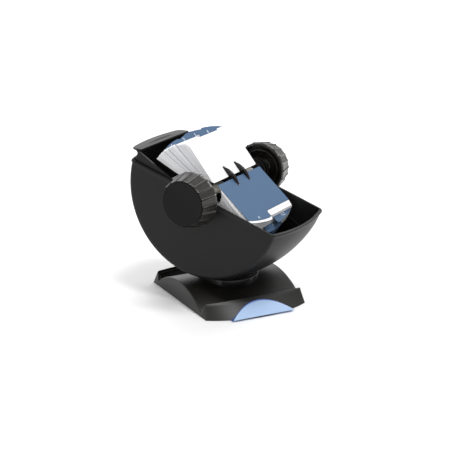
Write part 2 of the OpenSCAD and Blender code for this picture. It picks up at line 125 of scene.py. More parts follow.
class Finish:
    """A material and the short calls that build its nodes."""

    def __init__(self, name, **constants):
        self.material = bpy.data.materials.new(name)
        self.material.use_nodes = True
        self.tree = self.material.node_tree
        self.shader = self.tree.nodes["Principled BSDF"]
        for socket, value in constants.items():
            self.shader.inputs[socket.replace("_", " ")].default_value = value

    def node(self, kind, settings=None, inputs=None, output=0):
        """Adds a node, makes its settings, then fills its inputs with values or wires."""
        node = self.tree.nodes.new(kind)
        for key, value in (settings or {}).items():
            setattr(node, key, value)
        for key, value in (inputs or {}).items():
            if isinstance(value, Wire):
                self.tree.links.new(value.socket, node.inputs[key])
            else:
                node.inputs[key].default_value = value
        return Wire(self, node.outputs[output])

    def feed(self, socket, wire):
        self.tree.links.new(wire.socket, self.shader.inputs[socket])

    def place(self):
        return self.node("ShaderNodeTexCoord", output="Object")

    def noise(self, scale, detail=2.0, rough=0.5, stretch=(1.0, 1.0, 1.0)):
        """Noise of `scale` features a metre, between 0 and 1."""
        at = self.node("ShaderNodeMapping", None, {"Vector": self.place(), "Scale": stretch})
        inputs = {"Vector": at, "Scale": scale, "Detail": detail, "Roughness": rough}
        return self.node("ShaderNodeTexNoise", None, inputs)

    def blend(self, amount, low, high):
        """The colour low where amount is 0 and high where it is 1."""
        return self.node("ShaderNodeMix", {"data_type": "RGBA"}, {0: amount, 6: low, 7: high}, output=2)

    def bump(self, height, depth):
        self.feed("Normal", self.node("ShaderNodeBump", None, {"Height": height, "Distance": depth}))


def moulded(name, dark, light, rough, grain, depth, specular=0.5):
    """Moulded plastic: a fine even grain, faint cloudy flow marks and slightly uneven gloss."""
    finish = Finish(name, Specular_IOR_Level=specular)
    cloud = finish.noise(22.0, 3.0)
    fine = finish.noise(grain, 2.0, 0.6)
    finish.feed("Base Color", finish.blend(cloud, dark, light))
    finish.feed("Roughness", rough + (cloud - 0.5) * 0.12 + (fine - 0.5) * 0.08)
    finish.bump(fine, depth)
    return finish.material


def grey(value, warm=0.0):
    return (value * (1 + warm), value, value * (1 - warm), 1.0)


def card_stock(name, colour, shade):
    """Smooth card: very fine fibres and a faint mottle."""
    finish = Finish(name, Specular_IOR_Level=0.3)
    fibre = finish.noise(2600.0, 3.0, 0.6, (1.0, 0.35, 1.0))
    mottle = finish.noise(60.0, 2.0)
    finish.feed("Base Color", finish.blend(mottle * 0.5 + fibre * 0.5, colour, shade))
    finish.feed("Roughness", 0.62 + fibre * 0.1)
    finish.bump(fibre, 0.00002)
    return finish.material


def tinted_sheet(name, colour, shade):
    """Tinted flexible sheet: a soft haze and a light calendered texture."""
    finish = Finish(name, Specular_IOR_Level=0.16)
    haze = finish.noise(35.0, 2.0)
    fine = finish.noise(1800.0, 2.0)
    finish.feed("Base Color", finish.blend(haze, colour, shade))
    finish.feed("Roughness", 0.6 + haze * 0.1)
    finish.bump(fine, 0.00001)
    return finish.material


def metal(name, colour, rough):
    """Plated steel with fine turning marks."""
    finish = Finish(name, Metallic=1.0)
    marks = finish.noise(700.0, 3.0, 0.6, (1.0, 1.0, 6.0))
    finish.feed("Base Color", finish.blend(marks, colour, tuple(0.75 * c for c in colour[:3]) + (1.0,)))
    finish.feed("Roughness", rough + marks * 0.15)
    finish.bump(marks, 0.00002)
    return finish.material


def badge_finish():
    """Pale blue plate whose edge, marked by the `edge` attribute, is a deeper blue."""
    finish = Finish("badge_blue", Specular_IOR_Level=0.5, Coat_Weight=0.4, Coat_Roughness=0.12)
    edge = finish.node("ShaderNodeAttribute", {"attribute_name": "edge"}, output="Fac")
    sheen = finish.noise(30.0, 2.0)
    face = finish.blend(sheen, (0.33, 0.47, 0.70, 1.0), (0.37, 0.51, 0.74, 1.0))
    finish.feed("Base Color", finish.blend(edge, face, (0.06, 0.12, 0.42, 1.0)))
    finish.feed("Roughness", 0.32 + sheen * 0.1)
    finish.bump(finish.noise(1500.0), 0.00001)
    return finish.material


FINISHES = {
    "tray_black": moulded("tray_black", grey(0.0065), grey(0.0090, 0.04), 0.42, 1900.0, 0.00003, 0.20),
    "base_black": moulded("base_black", grey(0.006, 0.08), grey(0.0085, 0.12), 0.40, 1900.0, 0.00003, 0.38),
    "knob_black": moulded("knob_black", grey(0.007, 0.14), grey(0.012, 0.16), 0.27, 1500.0, 0.00003, 0.6),
    "face_black": moulded("face_black", grey(0.0035), grey(0.006), 0.42, 1500.0, 0.00003, 0.12),
    "gloss_black": moulded("gloss_black", grey(0.005), grey(0.008), 0.2, 900.0, 0.00001, 0.4),
    "bearing_plastic": moulded("bearing_plastic", (0.6, 0.57, 0.5, 1.0), (0.68, 0.66, 0.6, 1.0), 0.5, 1500.0,
                               0.00002),
    "rubber": moulded("rubber", grey(0.012), grey(0.016), 0.8, 800.0, 0.00008, 0.3),
    "card": card_stock("card", (0.93, 0.93, 0.94, 1.0), (0.88, 0.88, 0.90, 1.0)),
    "guide_blue": tinted_sheet("guide_blue", (0.068, 0.125, 0.218, 1.0), (0.076, 0.136, 0.236, 1.0)),
    "letter_white": card_stock("letter_white", (0.8, 0.84, 0.9, 1.0), (0.72, 0.78, 0.86, 1.0)),
    "steel": metal("steel", (0.55, 0.55, 0.56, 1.0), 0.25),
    "dark_steel": metal("dark_steel", (0.05, 0.05, 0.052, 1.0), 0.4),
    "badge": badge_finish(),
}

# ---- mesh making -----------------------------------------------------------------------------
def in_base(points):
    """Points of the base's frame, in metres."""
    return points * MM


def in_tray(points):
    """Points of the tray's frame, in the model's frame and in metres."""
    return (points @ TRAY_AXES + SPINDLE) * MM


def grid_faces(rows, columns, wrap_rows=False, wrap_columns=False):
    """Quads between neighbouring rows and columns of a grid of vertices."""
    r, c = np.indices((rows - (not wrap_rows), columns - (not wrap_columns)))
    below, beside = (r + 1) % rows, (c + 1) % columns
    corners = [r * columns + c, below * columns + c, below * columns + beside, r * columns + beside]
    return np.stack(corners, -1).reshape(-1, 4)


def signed_volume(points, faces):
    """Volume inside a closed surface, negative where its faces point inwards."""
    a, b, c, d = (points[faces[:, i]] for i in range(4))
    return np.einsum("ij,ij->", a, np.cross(b, c)) + np.einsum("ij,ij->", a, np.cross(c, d))


def piece(name, body, points, faces, finish, stands_for=(), smooth=True, bevel=0.0, marks=None):
    """Makes a closed mesh from metre points and quads, faces outwards, and rides it on a body.

    Vertices nearer than a micrometre are joined, which closes seams and poles."""
    if signed_volume(points, faces) < 0:
        faces = faces[:, ::-1]
    mesh = bpy.data.meshes.new(name)
    mesh.vertices.add(len(points))
    mesh.vertices.foreach_set("co", points.astype(np.float32).ravel())
    mesh.loops.add(faces.size)
    mesh.loops.foreach_set("vertex_index", faces.astype(np.int32).ravel())
    mesh.polygons.add(len(faces))
    mesh.polygons.foreach_set("loop_start", np.arange(0, faces.size, 4, dtype=np.int32))
    if marks is not None:
        mesh.attributes.new("edge", "FLOAT", "POINT").data.foreach_set("value", marks.astype(np.float32))
    mesh.update(calc_edges=True)
    work = bmesh.new()
    work.from_mesh(mesh)
    bmesh.ops.remove_doubles(work, verts=work.verts, dist=1e-6)
    bmesh.ops.dissolve_degenerate(work, dist=1e-7, edges=work.edges)
    work.to_mesh(mesh)
    work.free()
    mesh.polygons.foreach_set("use_smooth", np.full(len(mesh.polygons), smooth))
    if smooth:
        mesh.set_sharp_from_angle(angle=math.radians(38))
    mesh.materials.append(FINISHES[finish])
    made = bpy.data.objects.new(name, mesh)
    bpy.context.scene.collection.objects.link(made)
    if bevel:
        edge = made.modifiers.new("soft_edges", "BEVEL")
        edge.width = bevel * MM
        edge.segments = 2
        edge.limit_method = "ANGLE"
        edge.angle_limit = math.radians(50)
    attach(made, body)
    if stands_for:
        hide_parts(*stands_for)
    return made


def join(parts):
    """One set of points and faces from several."""
    starts = np.cumsum([0] + [len(points) for points, _ in parts[:-1]])
    faces = np.concatenate([faces + start for (_, faces), start in zip(parts, starts)])
    return np.concatenate([points for points, _ in parts]), faces


def sheet_solid(top, under):
    """Closed solid between two grids of the same size, [rows, columns, 3], with walls round the border."""
    rows, columns = top.shape[:2]
    faces = grid_faces(rows, columns)
    count = rows * columns
    index = np.arange(count).reshape(rows, columns)
    border = np.concatenate([index[:-1, 0], index[-1, :-1], index[:0:-1, -1], index[0, :0:-1]])
    following = np.roll(border, -1)
    walls = np.stack([border, following, following + count, border + count], -1)
    points = np.concatenate([top.reshape(-1, 3), under.reshape(-1, 3)])
    return points, np.concatenate([faces[:, ::-1], faces + count, walls[:, ::-1]])


def round_spindle(x, radius, angle):
    """Points at a radius and an angle in degrees round the spindle."""
    turn = np.radians(angle)
    x, y, z = np.broadcast_arrays(x, radius * np.sin(turn), radius * np.cos(turn))
    return np.stack([x, y, z], -1)


def lathe(profile, steps=96):
    """A closed outline of (x, radius) carried once round the spindle."""
    x, radius = np.asarray(profile, float).T
    angle = np.linspace(0, 360, steps, endpoint=False)[:, None]
    return round_spindle(x, radius, angle).reshape(-1, 3), grid_faces(steps, len(x), True, True)


def lathe_up(profile, steps=96):
    """A closed outline of (radius, height) carried once round the swivel axis."""
    radius, height = np.asarray(profile, float).T
    turn = np.linspace(0, 2 * math.pi, steps, endpoint=False)[:, None]
    x, y, z = np.broadcast_arrays(radius * np.cos(turn), radius * np.sin(turn), height)
    return np.stack([x, y, z], -1).reshape(-1, 3), grid_faces(steps, len(radius), True, True)


def loft(loops):
    """Closed solid through a row of closed loops, [rows, points, 3], its ends fanned to their centres."""
    ends = [np.repeat(loop.mean(0)[None, None], loops.shape[1], 1) for loop in (loops[0], loops[-1])]
    grid = np.concatenate([ends[0], loops, ends[1]])
    return grid.reshape(-1, 3), grid_faces(grid.shape[0], grid.shape[1], False, True)


def outward(points, faces):
    """The same surface with its faces turned outwards."""
    return points, faces if signed_volume(points, faces) > 0 else faces[:, ::-1]


def barrel_outline(hw, radius, corner, steps=41):
    """Half section of a barrel, from one flat side to the other, as arrays of x and radius.

    The crown is a circular arc BOW high over the width; a round of radius `corner`, tangent to both,
    joins it to each flat side."""
    crown_r = (hw ** 2 + BOW ** 2) / (2 * BOW)
    end = (hw - corner) / (1 - corner / crown_r)
    x = np.linspace(-end, end, steps)
    rise = radius + BOW - crown_r
    crown = np.stack([x, rise + np.sqrt(crown_r ** 2 - x ** 2)], -1)
    lean = math.asin(end / crown_r)
    turn = np.linspace(0, math.pi / 2 - lean, 7)[:-1]
    centre = crown[0] - corner * np.array([-math.sin(lean), math.cos(lean)])
    left = centre + corner * np.stack([-np.cos(turn), np.sin(turn)], -1)
    right = (left * (-1, 1))[::-1]
    return np.concatenate([left, crown, right]).T


# ---- base ------------------------------------------------------------------------------------
def bowed_edge(x, corner, bulge, hw):
    """Distance from the middle of a bowed edge: a circular arc through (+-hw, corner), bulging outwards."""
    arc_r = (hw ** 2 + bulge ** 2) / (2 * bulge)
    return corner + bulge - arc_r + np.sqrt(arc_r ** 2 - x ** 2)


def arch_height(y):
    return ARCH_H - ARCH_R + np.sqrt(ARCH_R ** 2 - y ** 2)


def lip_profile(x, corner, inset):
    """One end's section at each x: foot, slanted face, rounded top, inner slope and trough, as (y, z)."""
    foot = bowed_edge(x, corner, BASE_BOW, BASE_HW) - inset
    top = bowed_edge(x, corner - LIP_IN, LIP_TOP_BOW, BASE_HW) - inset
    height = LIP_H - inset + 1.2 * (1 - (x / BASE_HW) ** 2)
    y = [foot]
    z = [np.full_like(x, SHELL_Z)]
    for share in np.linspace(0.03, 0.93, 9):
        y.append(foot + (top - foot) * share)
        z.append(SHELL_Z + (height - SHELL_Z) * share)
    for turn in np.radians([20, 45, 70, 90, 115, 140]):
        y.append(top - 1.0 + 1.1 * np.cos(turn))
        z.append(height - 1.0 + np.sin(turn))
    inner = top - 1.9
    root = corner - LIP_IN - 7.5 - inset
    for share in (0.0, 0.33, 0.66, 1.0):
        y.append(inner + (root - inner) * share)
        z.append(height - 1.4 + (arch_height(root) - inset - height + 1.4) * share)
    return np.array(y), np.array(z)


def base_surface(inset):
    """Upper skin of the base as a grid [across, front to back, 3].

    Its rounded sides turn down to the foot."""
    round_r = 1.6
    turn = np.radians(np.linspace(0, 90, 6))
    side = BASE_HW - inset
    edge = side - round_r * (1 - np.cos(turn))
    x = np.concatenate([-edge, np.linspace(-side + 2 * round_r, side - 2 * round_r, 41), edge[::-1]])
    drop = np.concatenate([round_r * (1 - np.sin(turn)), np.zeros(41), (round_r * (1 - np.sin(turn)))[::-1]])
    back_y, back_z = lip_profile(x, BASE_BACK, inset)
    front_y, front_z = lip_profile(x, BASE_FRONT, inset)
    reach = np.linspace(-(BASE_FRONT - LIP_IN - 7.5 - inset), BASE_BACK - LIP_IN - 7.5 - inset, 42)[1:-1]
    arch_y = np.repeat(reach[:, None], len(x), 1)
    y = np.concatenate([-front_y, arch_y, back_y[::-1]])
    z = np.concatenate([front_z, arch_height(arch_y) - inset, back_z[::-1]])
    z = np.maximum(z - drop, SHELL_Z)
    taper = 1 - LIP_TAPER / BASE_HW * np.clip((np.abs(y) - 60) / 10, 0, 1) * np.clip(z / LIP_H, 0, 1)
    grid = np.stack([x * taper, y, z], -1).transpose(1, 0, 2)
    foot = grid[[0, -1]].copy()
    foot[..., 2] = SHELL_Z
    foot[..., 0] = np.array([[-side], [side]])
    return np.concatenate([foot[:1], grid, foot[1:]])


def make_base():
    points, faces = sheet_solid(base_surface(0.0), base_surface(BASE_WALL))
    piece("base_cover", "base", in_base(points), faces, "base_black", ("base_shell",))


def make_badge():
    """Circular segment standing proud of the front slope, its rim rounded over; bare."""
    hw, high, proud, deep = 42.0, 23.0, 3.0, 13.0
    steps = 61
    across = np.linspace(-1, 1, steps)[:, None]
    rise = high * (1 - across ** 2)
    shares = np.array([0.0, 0.02, 0.3, 0.6, 0.88, 0.95, 0.985, 1.0])
    inward = np.array([0.5, 0.0, 0.0, 0.0, 0.0, 0.12, 0.4, 1.0])
    tilt = math.atan2(LIP_H, BASE_BOW + LIP_IN - LIP_TOP_BOW)
    up = np.array([0, math.cos(tilt), math.sin(tilt)])
    out = np.array([0, -math.sin(tilt), math.cos(tilt)])
    start = np.array([0, -BASE_FRONT - BASE_BOW, SHELL_Z])
    x = np.array([1.0, 0, 0])
    face = start + x * (hw * across[..., None]) + up * (rise * shares)[..., None]
    face = face + out * (proud - inward[:, None])
    under = face - out * deep
    points, faces = sheet_solid(face, under)
    points[:, 2] = np.maximum(points[:, 2], SHELL_Z)
    rim = np.tile((inward > 0.05) * 1.0, steps)
    rim[::len(shares)] = 0.0
    marks = np.concatenate([rim, np.ones(under[..., 0].size)])
    piece("badge", "base", in_base(points), faces, "badge", ("badge_plate",), marks=marks)


def make_collar():
    """Glossy swivel ring: an outline with a rounded shoulder and a shallow groove, turned about the axis."""
    top, low = COLLAR_TOP, ARCH_H - 8
    turn = np.radians(np.linspace(0, 90, 7))
    shoulder = [(COLLAR_R - 1.2 + 1.2 * math.cos(a), top - 1.2 + 1.2 * math.sin(a)) for a in turn]
    outline = [(SPIGOT_R + 1, low), (COLLAR_R - 0.6, low), (COLLAR_R, low + 0.6), *shoulder,
               (COLLAR_R - 3.6, top), (COLLAR_R - 3.8, top - 0.5), (COLLAR_R - 4.6, top - 0.5),
               (COLLAR_R - 4.8, top), (SPIGOT_R + 1, top)]
    points, faces = lathe_up(outline, 128)
    piece("swivel_ring", "base", in_base(points), faces, "gloss_black", ("swivel_collar",))


# ---- tray ------------------------------------------------------------------------------------
def tray_ring(offset, depth, share, sides=13):
    """A closed ring round the tray, parallel to its rim.

    The wall is moved outward by `offset`; the ring starts `depth` below the rim plane and goes the
    share `share` of the way from there to the bottom, which sags by TRAY_SAG."""
    x, radius = barrel_outline(TRAY_HW + offset, TRAY_R + offset, TRAY_CORNER + offset)
    start = RIM_DROP + depth
    level = start + (radius - start) * share
    reach = np.sqrt(np.maximum(radius ** 2 - level ** 2, 0))
    level = level + TRAY_SAG * share
    front = np.stack([x, -reach, -level], -1)
    back = (front * (1, -1, 1))[::-1]
    along = np.linspace(0, 1, sides + 2)[1:-1, None]
    right = front[-1] + (back[0] - front[-1]) * along
    left = back[-1] + (front[0] - back[-1]) * along
    return np.concatenate([front, right, back, left])


def make_tray():
    """Bowl of rings: up the outside, over the bead and rim, and down the inside."""
    shares = np.sin(np.radians(np.linspace(90, 0, 41)))
    rings = [tray_ring(0, BEAD_H + 0.5, s) for s in shares]
    bead = ((0.2, BEAD_H), (BEAD - 0.3, BEAD_H - 0.2), (BEAD, BEAD_H - 0.7))
    rings += [tray_ring(offset, depth, 0) for offset, depth in bead]
    turn = np.radians(np.linspace(0, 90, 7))
    rings += [tray_ring(BEAD - 1.4 * (1 - math.cos(a)), 1.4 * (1 - math.sin(a)), 0) for a in turn]
    rings += [tray_ring(-TRAY_WALL + 0.7 * (1 - math.sin(a)), 0.7 * (1 - math.cos(a)), 0) for a in turn]
    rings += [tray_ring(-TRAY_WALL, 1.2, s) for s in shares[::-1]]
    grid = np.stack(rings)
    cos, sin = math.cos(math.radians(RIM_SLOPE)), math.sin(math.radians(RIM_SLOPE))
    tilt = np.array([[1, 0, 0], [0, cos, sin], [0, -sin, cos]])
    bowl = (grid.reshape(-1, 3) @ tilt, grid_faces(grid.shape[0], grid.shape[1], False, True))
    ears = []
    for side in (-1, 1):
        inner, outer = side * (TRAY_HW - TRAY_WALL), side * TRAY_HW
        ears.append(lathe([(inner, BUSH_R), (inner, EAR_R), (outer - side * 0.5, EAR_R),
                           (outer, EAR_R - 0.5), (outer, BUSH_R)]))
    points, faces = join([outward(*solid) for solid in (bowl, *ears)])
    piece("tray_bowl", "tray", in_tray(points), faces, "tray_black", ("tray_shell",))


def make_neck():
    """Seat under the tray: a flared round whose top follows the barrel of the tray."""
    steps = 128
    turn = np.linspace(0, 2 * math.pi, steps, endpoint=False)[:, None]
    share = np.linspace(0, 1, 12)
    low_r, high_r = COLLAR_R - 2, COLLAR_R + 5
    radius = low_r + (high_r - low_r) * share ** 3
    x, y = radius * np.cos(turn), radius * np.sin(turn)
    crown_r = (TRAY_HW ** 2 + BOW ** 2) / (2 * BOW)
    wall = TRAY_R + BOW - crown_r + np.sqrt(crown_r ** 2 - x ** 2)
    skin = SPINDLE[2] - np.sqrt(wall ** 2 - y ** 2) + 0.6
    z = NECK_Z + (skin - NECK_Z) * share
    side = np.stack([x, y, z - SPINDLE[2]], -1)
    inner_x, inner_y = SPIGOT_R * np.cos(turn), SPIGOT_R * np.sin(turn)
    inner_wall = TRAY_R + BOW - crown_r + np.sqrt(crown_r ** 2 - inner_x ** 2)
    inner_top = -np.sqrt(inner_wall ** 2 - inner_y ** 2) + 0.6
    low = np.full_like(inner_x, NECK_Z - SPINDLE[2])
    hole = np.stack([np.concatenate([inner_x, inner_y, level], 1) for level in (inner_top, low)], 1)
    grid = np.concatenate([side, hole], 1)
    points = grid.reshape(-1, 3)
    piece("tray_seat", "tray", in_tray(points), grid_faces(steps, grid.shape[1], True, True), "gloss_black",
          ("tray_neck",))


# ---- rolling cover ---------------------------------------------------------------------------
def make_cover():
    """Barrel shell swept from its leading to its trailing edge; the lip stands out at the leading edge."""
    angle = np.linspace(COVER_LEAD, COVER_TRAIL, 121)[:, None]
    x, radius = barrel_outline(COVER_HW, COVER_R, 2.0)
    inner_x, inner_r = barrel_outline(COVER_HW - COVER_WALL, COVER_R - COVER_WALL, 1.2)
    shell = sheet_solid(round_spindle(x, radius, angle), round_spindle(inner_x, inner_r, angle))
    points, faces = shell
    piece("cover_barrel", "cover", in_tray(points), faces, "tray_black", ("cover_shell",),
          bevel=0.3)
    make_lip()


def make_lip():
    """Flared lip: at each x a closed section, flat on top from a straight root to a bowed edge with rounded
    ends, whose underside falls to the barrel as a quarter ellipse."""
    across = np.sin(np.radians(np.linspace(-90, 90, 61)))
    x = across * 54.0
    crown_r = (COVER_HW ** 2 + BOW ** 2) / (2 * BOW)
    radius = COVER_R + BOW - crown_r + np.sqrt(crown_r ** 2 - x ** 2)
    end = np.clip((np.abs(x) - x.max() + LIP_ROUND) / LIP_ROUND, 0, 1)
    reach = LIP_REACH + LIP_BOW * (1 - across ** 2) - LIP_ROUND * (1 - np.sqrt(1 - end ** 2))
    fall = 6.4
    y = [np.full_like(x, LIP_ROOT), reach - 0.9, reach - 0.25, reach, reach - 0.1]
    z = [LIP_Z, LIP_Z, LIP_Z - 0.2, LIP_Z - 0.8, LIP_Z - 1.6]
    wall = np.sqrt(radius ** 2 - (LIP_Z - 2 - fall) ** 2)
    for turn in np.radians(np.linspace(0, 90, 9)):
        y.append(wall + (reach - 1.2 - wall) * (1 - math.sin(turn)))
        z.append(LIP_Z - 2 - fall * (1 - math.cos(turn)))
    y += [wall - 1.2, wall - 1.2, np.full_like(x, LIP_ROOT)]
    z += [LIP_Z - 2 - fall, LIP_Z - 1.9, LIP_Z - 1.9]
    y, z = np.array(y), np.array(z)[:, None]
    loops = np.stack(np.broadcast_arrays(x, y, z), -1).transpose(1, 0, 2)
    points, faces = loft(loops)
    piece("cover_lip", "cover", in_tray(points), faces, "tray_black", ())


# ---- knobs -----------------------------------------------------------------------------------
def knob_profile():
    """Outline of a knob as rows of (x, radius, depth of the flutes there), round its face, skirt and back."""
    face, back = KNOB_FACE, KNOB_BACK
    cap_r, skirt_r = KNOB_CAP_R, KNOB_SKIRT_R
    rim = [(face - 2.4, SPINDLE_R, 0), (face - 2.4, cap_r + 0.3, 0), (face - 2.0, cap_r + 0.6, 0.1),
           (face - 0.9, cap_r + 0.9, 0.3), (face - 0.3, cap_r + 1.3, 0.7), (face, cap_r + 1.8, 1.1)]
    skirt = np.linspace(0, 1, 9)[:, None] * (SKIRT_X - face + 0.5, skirt_r - KNOB_FACE_R, -0.5)
    skirt = skirt + (face - 0.5, KNOB_FACE_R, 1.5)
    inside = [(SKIRT_X - 1.2, skirt_r - 0.5, 0.9), (back, skirt_r - 1.4, 0.5), (back, skirt_r - 4.2, 0),
              (back + 0.5, skirt_r - 4.8, 0), (back + 6, skirt_r - 5.6, 0), (back + 6.5, skirt_r - 6.4, 0),
              (back + 6.5, skirt_r - 8.4, 0), (back + 6, skirt_r - 8.8, 0), (back + 2.2, skirt_r - 9.2, 0),
              (back + 1.5, skirt_r - 9.8, 0), (back + 1.5, skirt_r - 11.4, 0), (back + 2.2, skirt_r - 12, 0),
              (back + 9, skirt_r - 12.6, 0), (back + 9.5, skirt_r - 13.4, 0),
              (back + 9.5, KNOB_HUB_R + 0.6, 0), (back + 9, KNOB_HUB_R, 0), (back + 2.3, KNOB_HUB_R, 0),
              (back + 2, KNOB_HUB_R - 0.4, 0), (back + 2, SPINDLE_R, 0)]
    return np.concatenate([rim, skirt, inside])


def make_knob(side, name, node):
    """Lathe of the outline with narrow ribs: u of the way from one rib to the next, the surface is sunk by
    its flute depth times 1 - |2u - 1|^5, and in front also a little along the spindle."""
    profile = knob_profile()
    between = np.array([0, 0.03, 0.07, 0.12, 0.2, 0.32, 0.5, 0.68, 0.8, 0.88, 0.93, 0.97])
    turn = ((np.arange(FLUTES)[:, None] + between) * 360 / FLUTES).reshape(-1, 1)
    hollow = np.tile(1 - np.abs(2 * between - 1) ** 5, FLUTES)[:, None]
    radius = profile[:, 1] - hollow * profile[:, 2]
    in_front = np.clip((profile[:, 0] - KNOB_FACE + 2) / 2, 0, 1) * profile[:, 2]
    points = round_spindle(side * (profile[:, 0] - 0.6 * hollow * in_front), radius, turn).reshape(-1, 3)
    faces = grid_faces(len(turn), len(profile), True, True)
    piece(name, "wheel", in_tray(points), faces, "knob_black", (node,))


def make_knob_caps():
    """Dished discs that close the knobs' faces."""
    discs = []
    radii = np.linspace(0, KNOB_CAP_R - 0.6, 12)
    for side in (-1, 1):
        dish = 0.9 * (1 - (radii / KNOB_CAP_R) ** 2)
        outer = np.stack([side * (KNOB_FACE - 0.1 - dish), radii], -1)
        edge = [(side * (KNOB_FACE - 0.2), KNOB_CAP_R - 0.2), (side * (KNOB_FACE - 0.6), KNOB_CAP_R),
                (side * (KNOB_FACE - 2.5), KNOB_CAP_R), (side * (KNOB_FACE - 2.5), 0)]
        discs.append(outward(*lathe(np.concatenate([outer, edge]))))
    points, faces = join(discs)
    piece("knob_faces", "wheel", in_tray(points), faces, "face_black", ("knob_caps",))


def make_rails():
    """Pair of card rails: a round rim on a thin web, turned about the spindle."""
    turn = np.radians(np.linspace(-152, 152, 25))
    rim = np.stack([WIRE_R * np.sin(turn), RAIL_R + WIRE_R * np.cos(turn)], -1)
    web = [(0.8, 10.5), (2.2, 9.0), (2.2, SPINDLE_R), (-2.2, SPINDLE_R), (-2.2, 9.0), (-0.8, 10.5)]
    outline = np.concatenate([rim, web])
    for side, name in ((-1, "rail_left"), (1, "rail_right")):
        points, faces = lathe(outline + (side * RAIL_X, 0), 128)
        piece("card_" + name, "wheel", in_tray(points), faces, "gloss_black", (name,))


# ---- cards and guides ------------------------------------------------------------------------
def along(angle):
    """Unit vectors in (Y, Z) at angles in degrees from up towards the back."""
    turn = np.radians(angle)
    return np.stack([np.sin(turn), np.cos(turn)], -1)


def leaf_at(table, share):
    """Leaves at shares of the way along a table of leaf places, straight between its rows."""
    where = np.linspace(0, 1, len(table))
    return np.stack([np.interp(share, where, table[:, k]) for k in range(3)], -1)


def guide_place(index):
    if index == 0:
        return PAGE
    if index <= REAR_GUIDES:
        return leaf_at(FAN, (index - 0.35) / REAR_GUIDES)
    return leaf_at(LOW, (index - REAR_GUIDES - 0.5) / (GUIDES - 1 - REAR_GUIDES))


def leaf_points(place, x, height, curl, lift):
    """Points of flat leaves: `height` up from the foot, `lift` off the sheet's middle.

    A leaf bends evenly, so a point at height h lies along the direction turned by curl * h / (2 * CARD_H)."""
    foot = RAIL_R * along(place[..., 0]) - place[..., 2:] * along(place[..., 1])
    heading = place[..., 1] + curl * height / (2 * CARD_H)
    yz = foot + along(heading) * height[..., None]
    normal = along(heading + 90)
    yz = yz + normal * lift
    x = np.broadcast_to(x, yz.shape[:-1])
    return np.concatenate([x[..., None], yz], -1)


def stack_of_leaves(places, jitter, curls):
    """Thin closed cards, one for each place, in a single set of points and faces."""
    rows = CARD_H * np.linspace(0, 1, 7)[:, None]
    columns = CARD_W / 2 * np.linspace(-1, 1, 5)
    parts = []
    for place, shift, curl in zip(places, jitter, curls):
        height = np.broadcast_to(rows + shift[1], (7, 5))
        front = leaf_points(place, columns + shift[0], height, curl, CARD_T / 2)
        back = leaf_points(place, columns + shift[0], height, curl, -CARD_T / 2)
        parts.append(sheet_solid(front, back))
    return join(parts)


def uneven(count, wide, often):
    """Shares from 0 to 1 in rising order; a share `often` of the gaps is up to `wide` times the others."""
    gaps = 1 + wide * RANDOM.random(count - 1) * (RANDOM.random(count - 1) < often)
    return np.concatenate([[0], np.cumsum(gaps)]) / gaps.sum()


def make_cards():
    for name, node, table, count, spread, bend in (
            ("cards_behind", "cards_rear", FAN, 120, (0.012, 0.976, 7.0, 0.26), -2.0),
            ("cards_below", "cards_lower", LOW, 240, (0.03, 0.965, 2.0, 0.2), 2.0)):
        start, span, wide, often = spread
        places = leaf_at(table, start + span * uneven(count, wide, often))
        jitter = RANDOM.normal(0, 1, (count, 2)) * (0.25, 0.35)
        curls = bend + RANDOM.normal(0, 0.15, count)
        points, faces = stack_of_leaves(places, jitter, curls)
        piece(name, "wheel", in_tray(points), faces, "card", (node,), smooth=False)


def masked_sheet(front, back, kept):
    """Closed sheet between two grids of which only the `kept` cells [rows - 1, columns - 1] are solid.

    Walls stand where a kept cell meets a cut one or the border."""
    rows, columns = front.shape[:2]
    count = rows * columns
    cell = grid_faces(rows, columns).reshape(rows - 1, columns - 1, 4)
    solid = np.pad(kept, 1)
    sides = ((0, -1, 0, 1), (1, 0, 1, 2), (0, 1, 2, 3), (-1, 0, 3, 0))
    faces = [cell[kept][:, ::-1], cell[kept] + count]
    for down, right, a, b in sides:
        beside = solid[1 + down: rows + down, 1 + right: columns + right]
        edge = cell[kept & ~beside]
        first, second = edge[:, a], edge[:, b]
        faces.append(np.stack([first, second, second + count, first + count], -1))
    used, flat = np.unique(np.concatenate(faces), return_inverse=True)
    points = np.concatenate([front.reshape(-1, 3), back.reshape(-1, 3)])[used]
    return points, flat.reshape(-1, 4)


def leaf_columns(extra=(), width=CARD_W):
    """X of the grid lines of a leaf, with lines on the slots' edges and at the extra places."""
    slots = [s * (RAIL_X + d * SLOT_W / 2) for s in (-1, 1) for d in (-1, 1)]
    lines = [*np.linspace(-width / 2, width / 2, 61), *slots, *extra]
    return np.unique(np.round(lines, 4))


def slot_depth(place):
    """Height above its foot at which a leaf passes out through the rails, and a little more."""
    foot = RAIL_R * along(place[0]) - place[2] * along(place[1])
    part = foot @ along(place[1])
    return math.sqrt(part ** 2 - foot @ foot + (RAIL_R + WIRE_R + 0.2) ** 2) - part


def slotted(columns, rows, deep):
    """Cells of a leaf's grid that the two rail slots leave solid."""
    middle = (columns[1:] + columns[:-1]) / 2
    cut = np.abs(np.abs(middle) - RAIL_X) < SLOT_W / 2
    return ~(cut[None, :] & (rows[1:, None] <= deep + 1e-6))


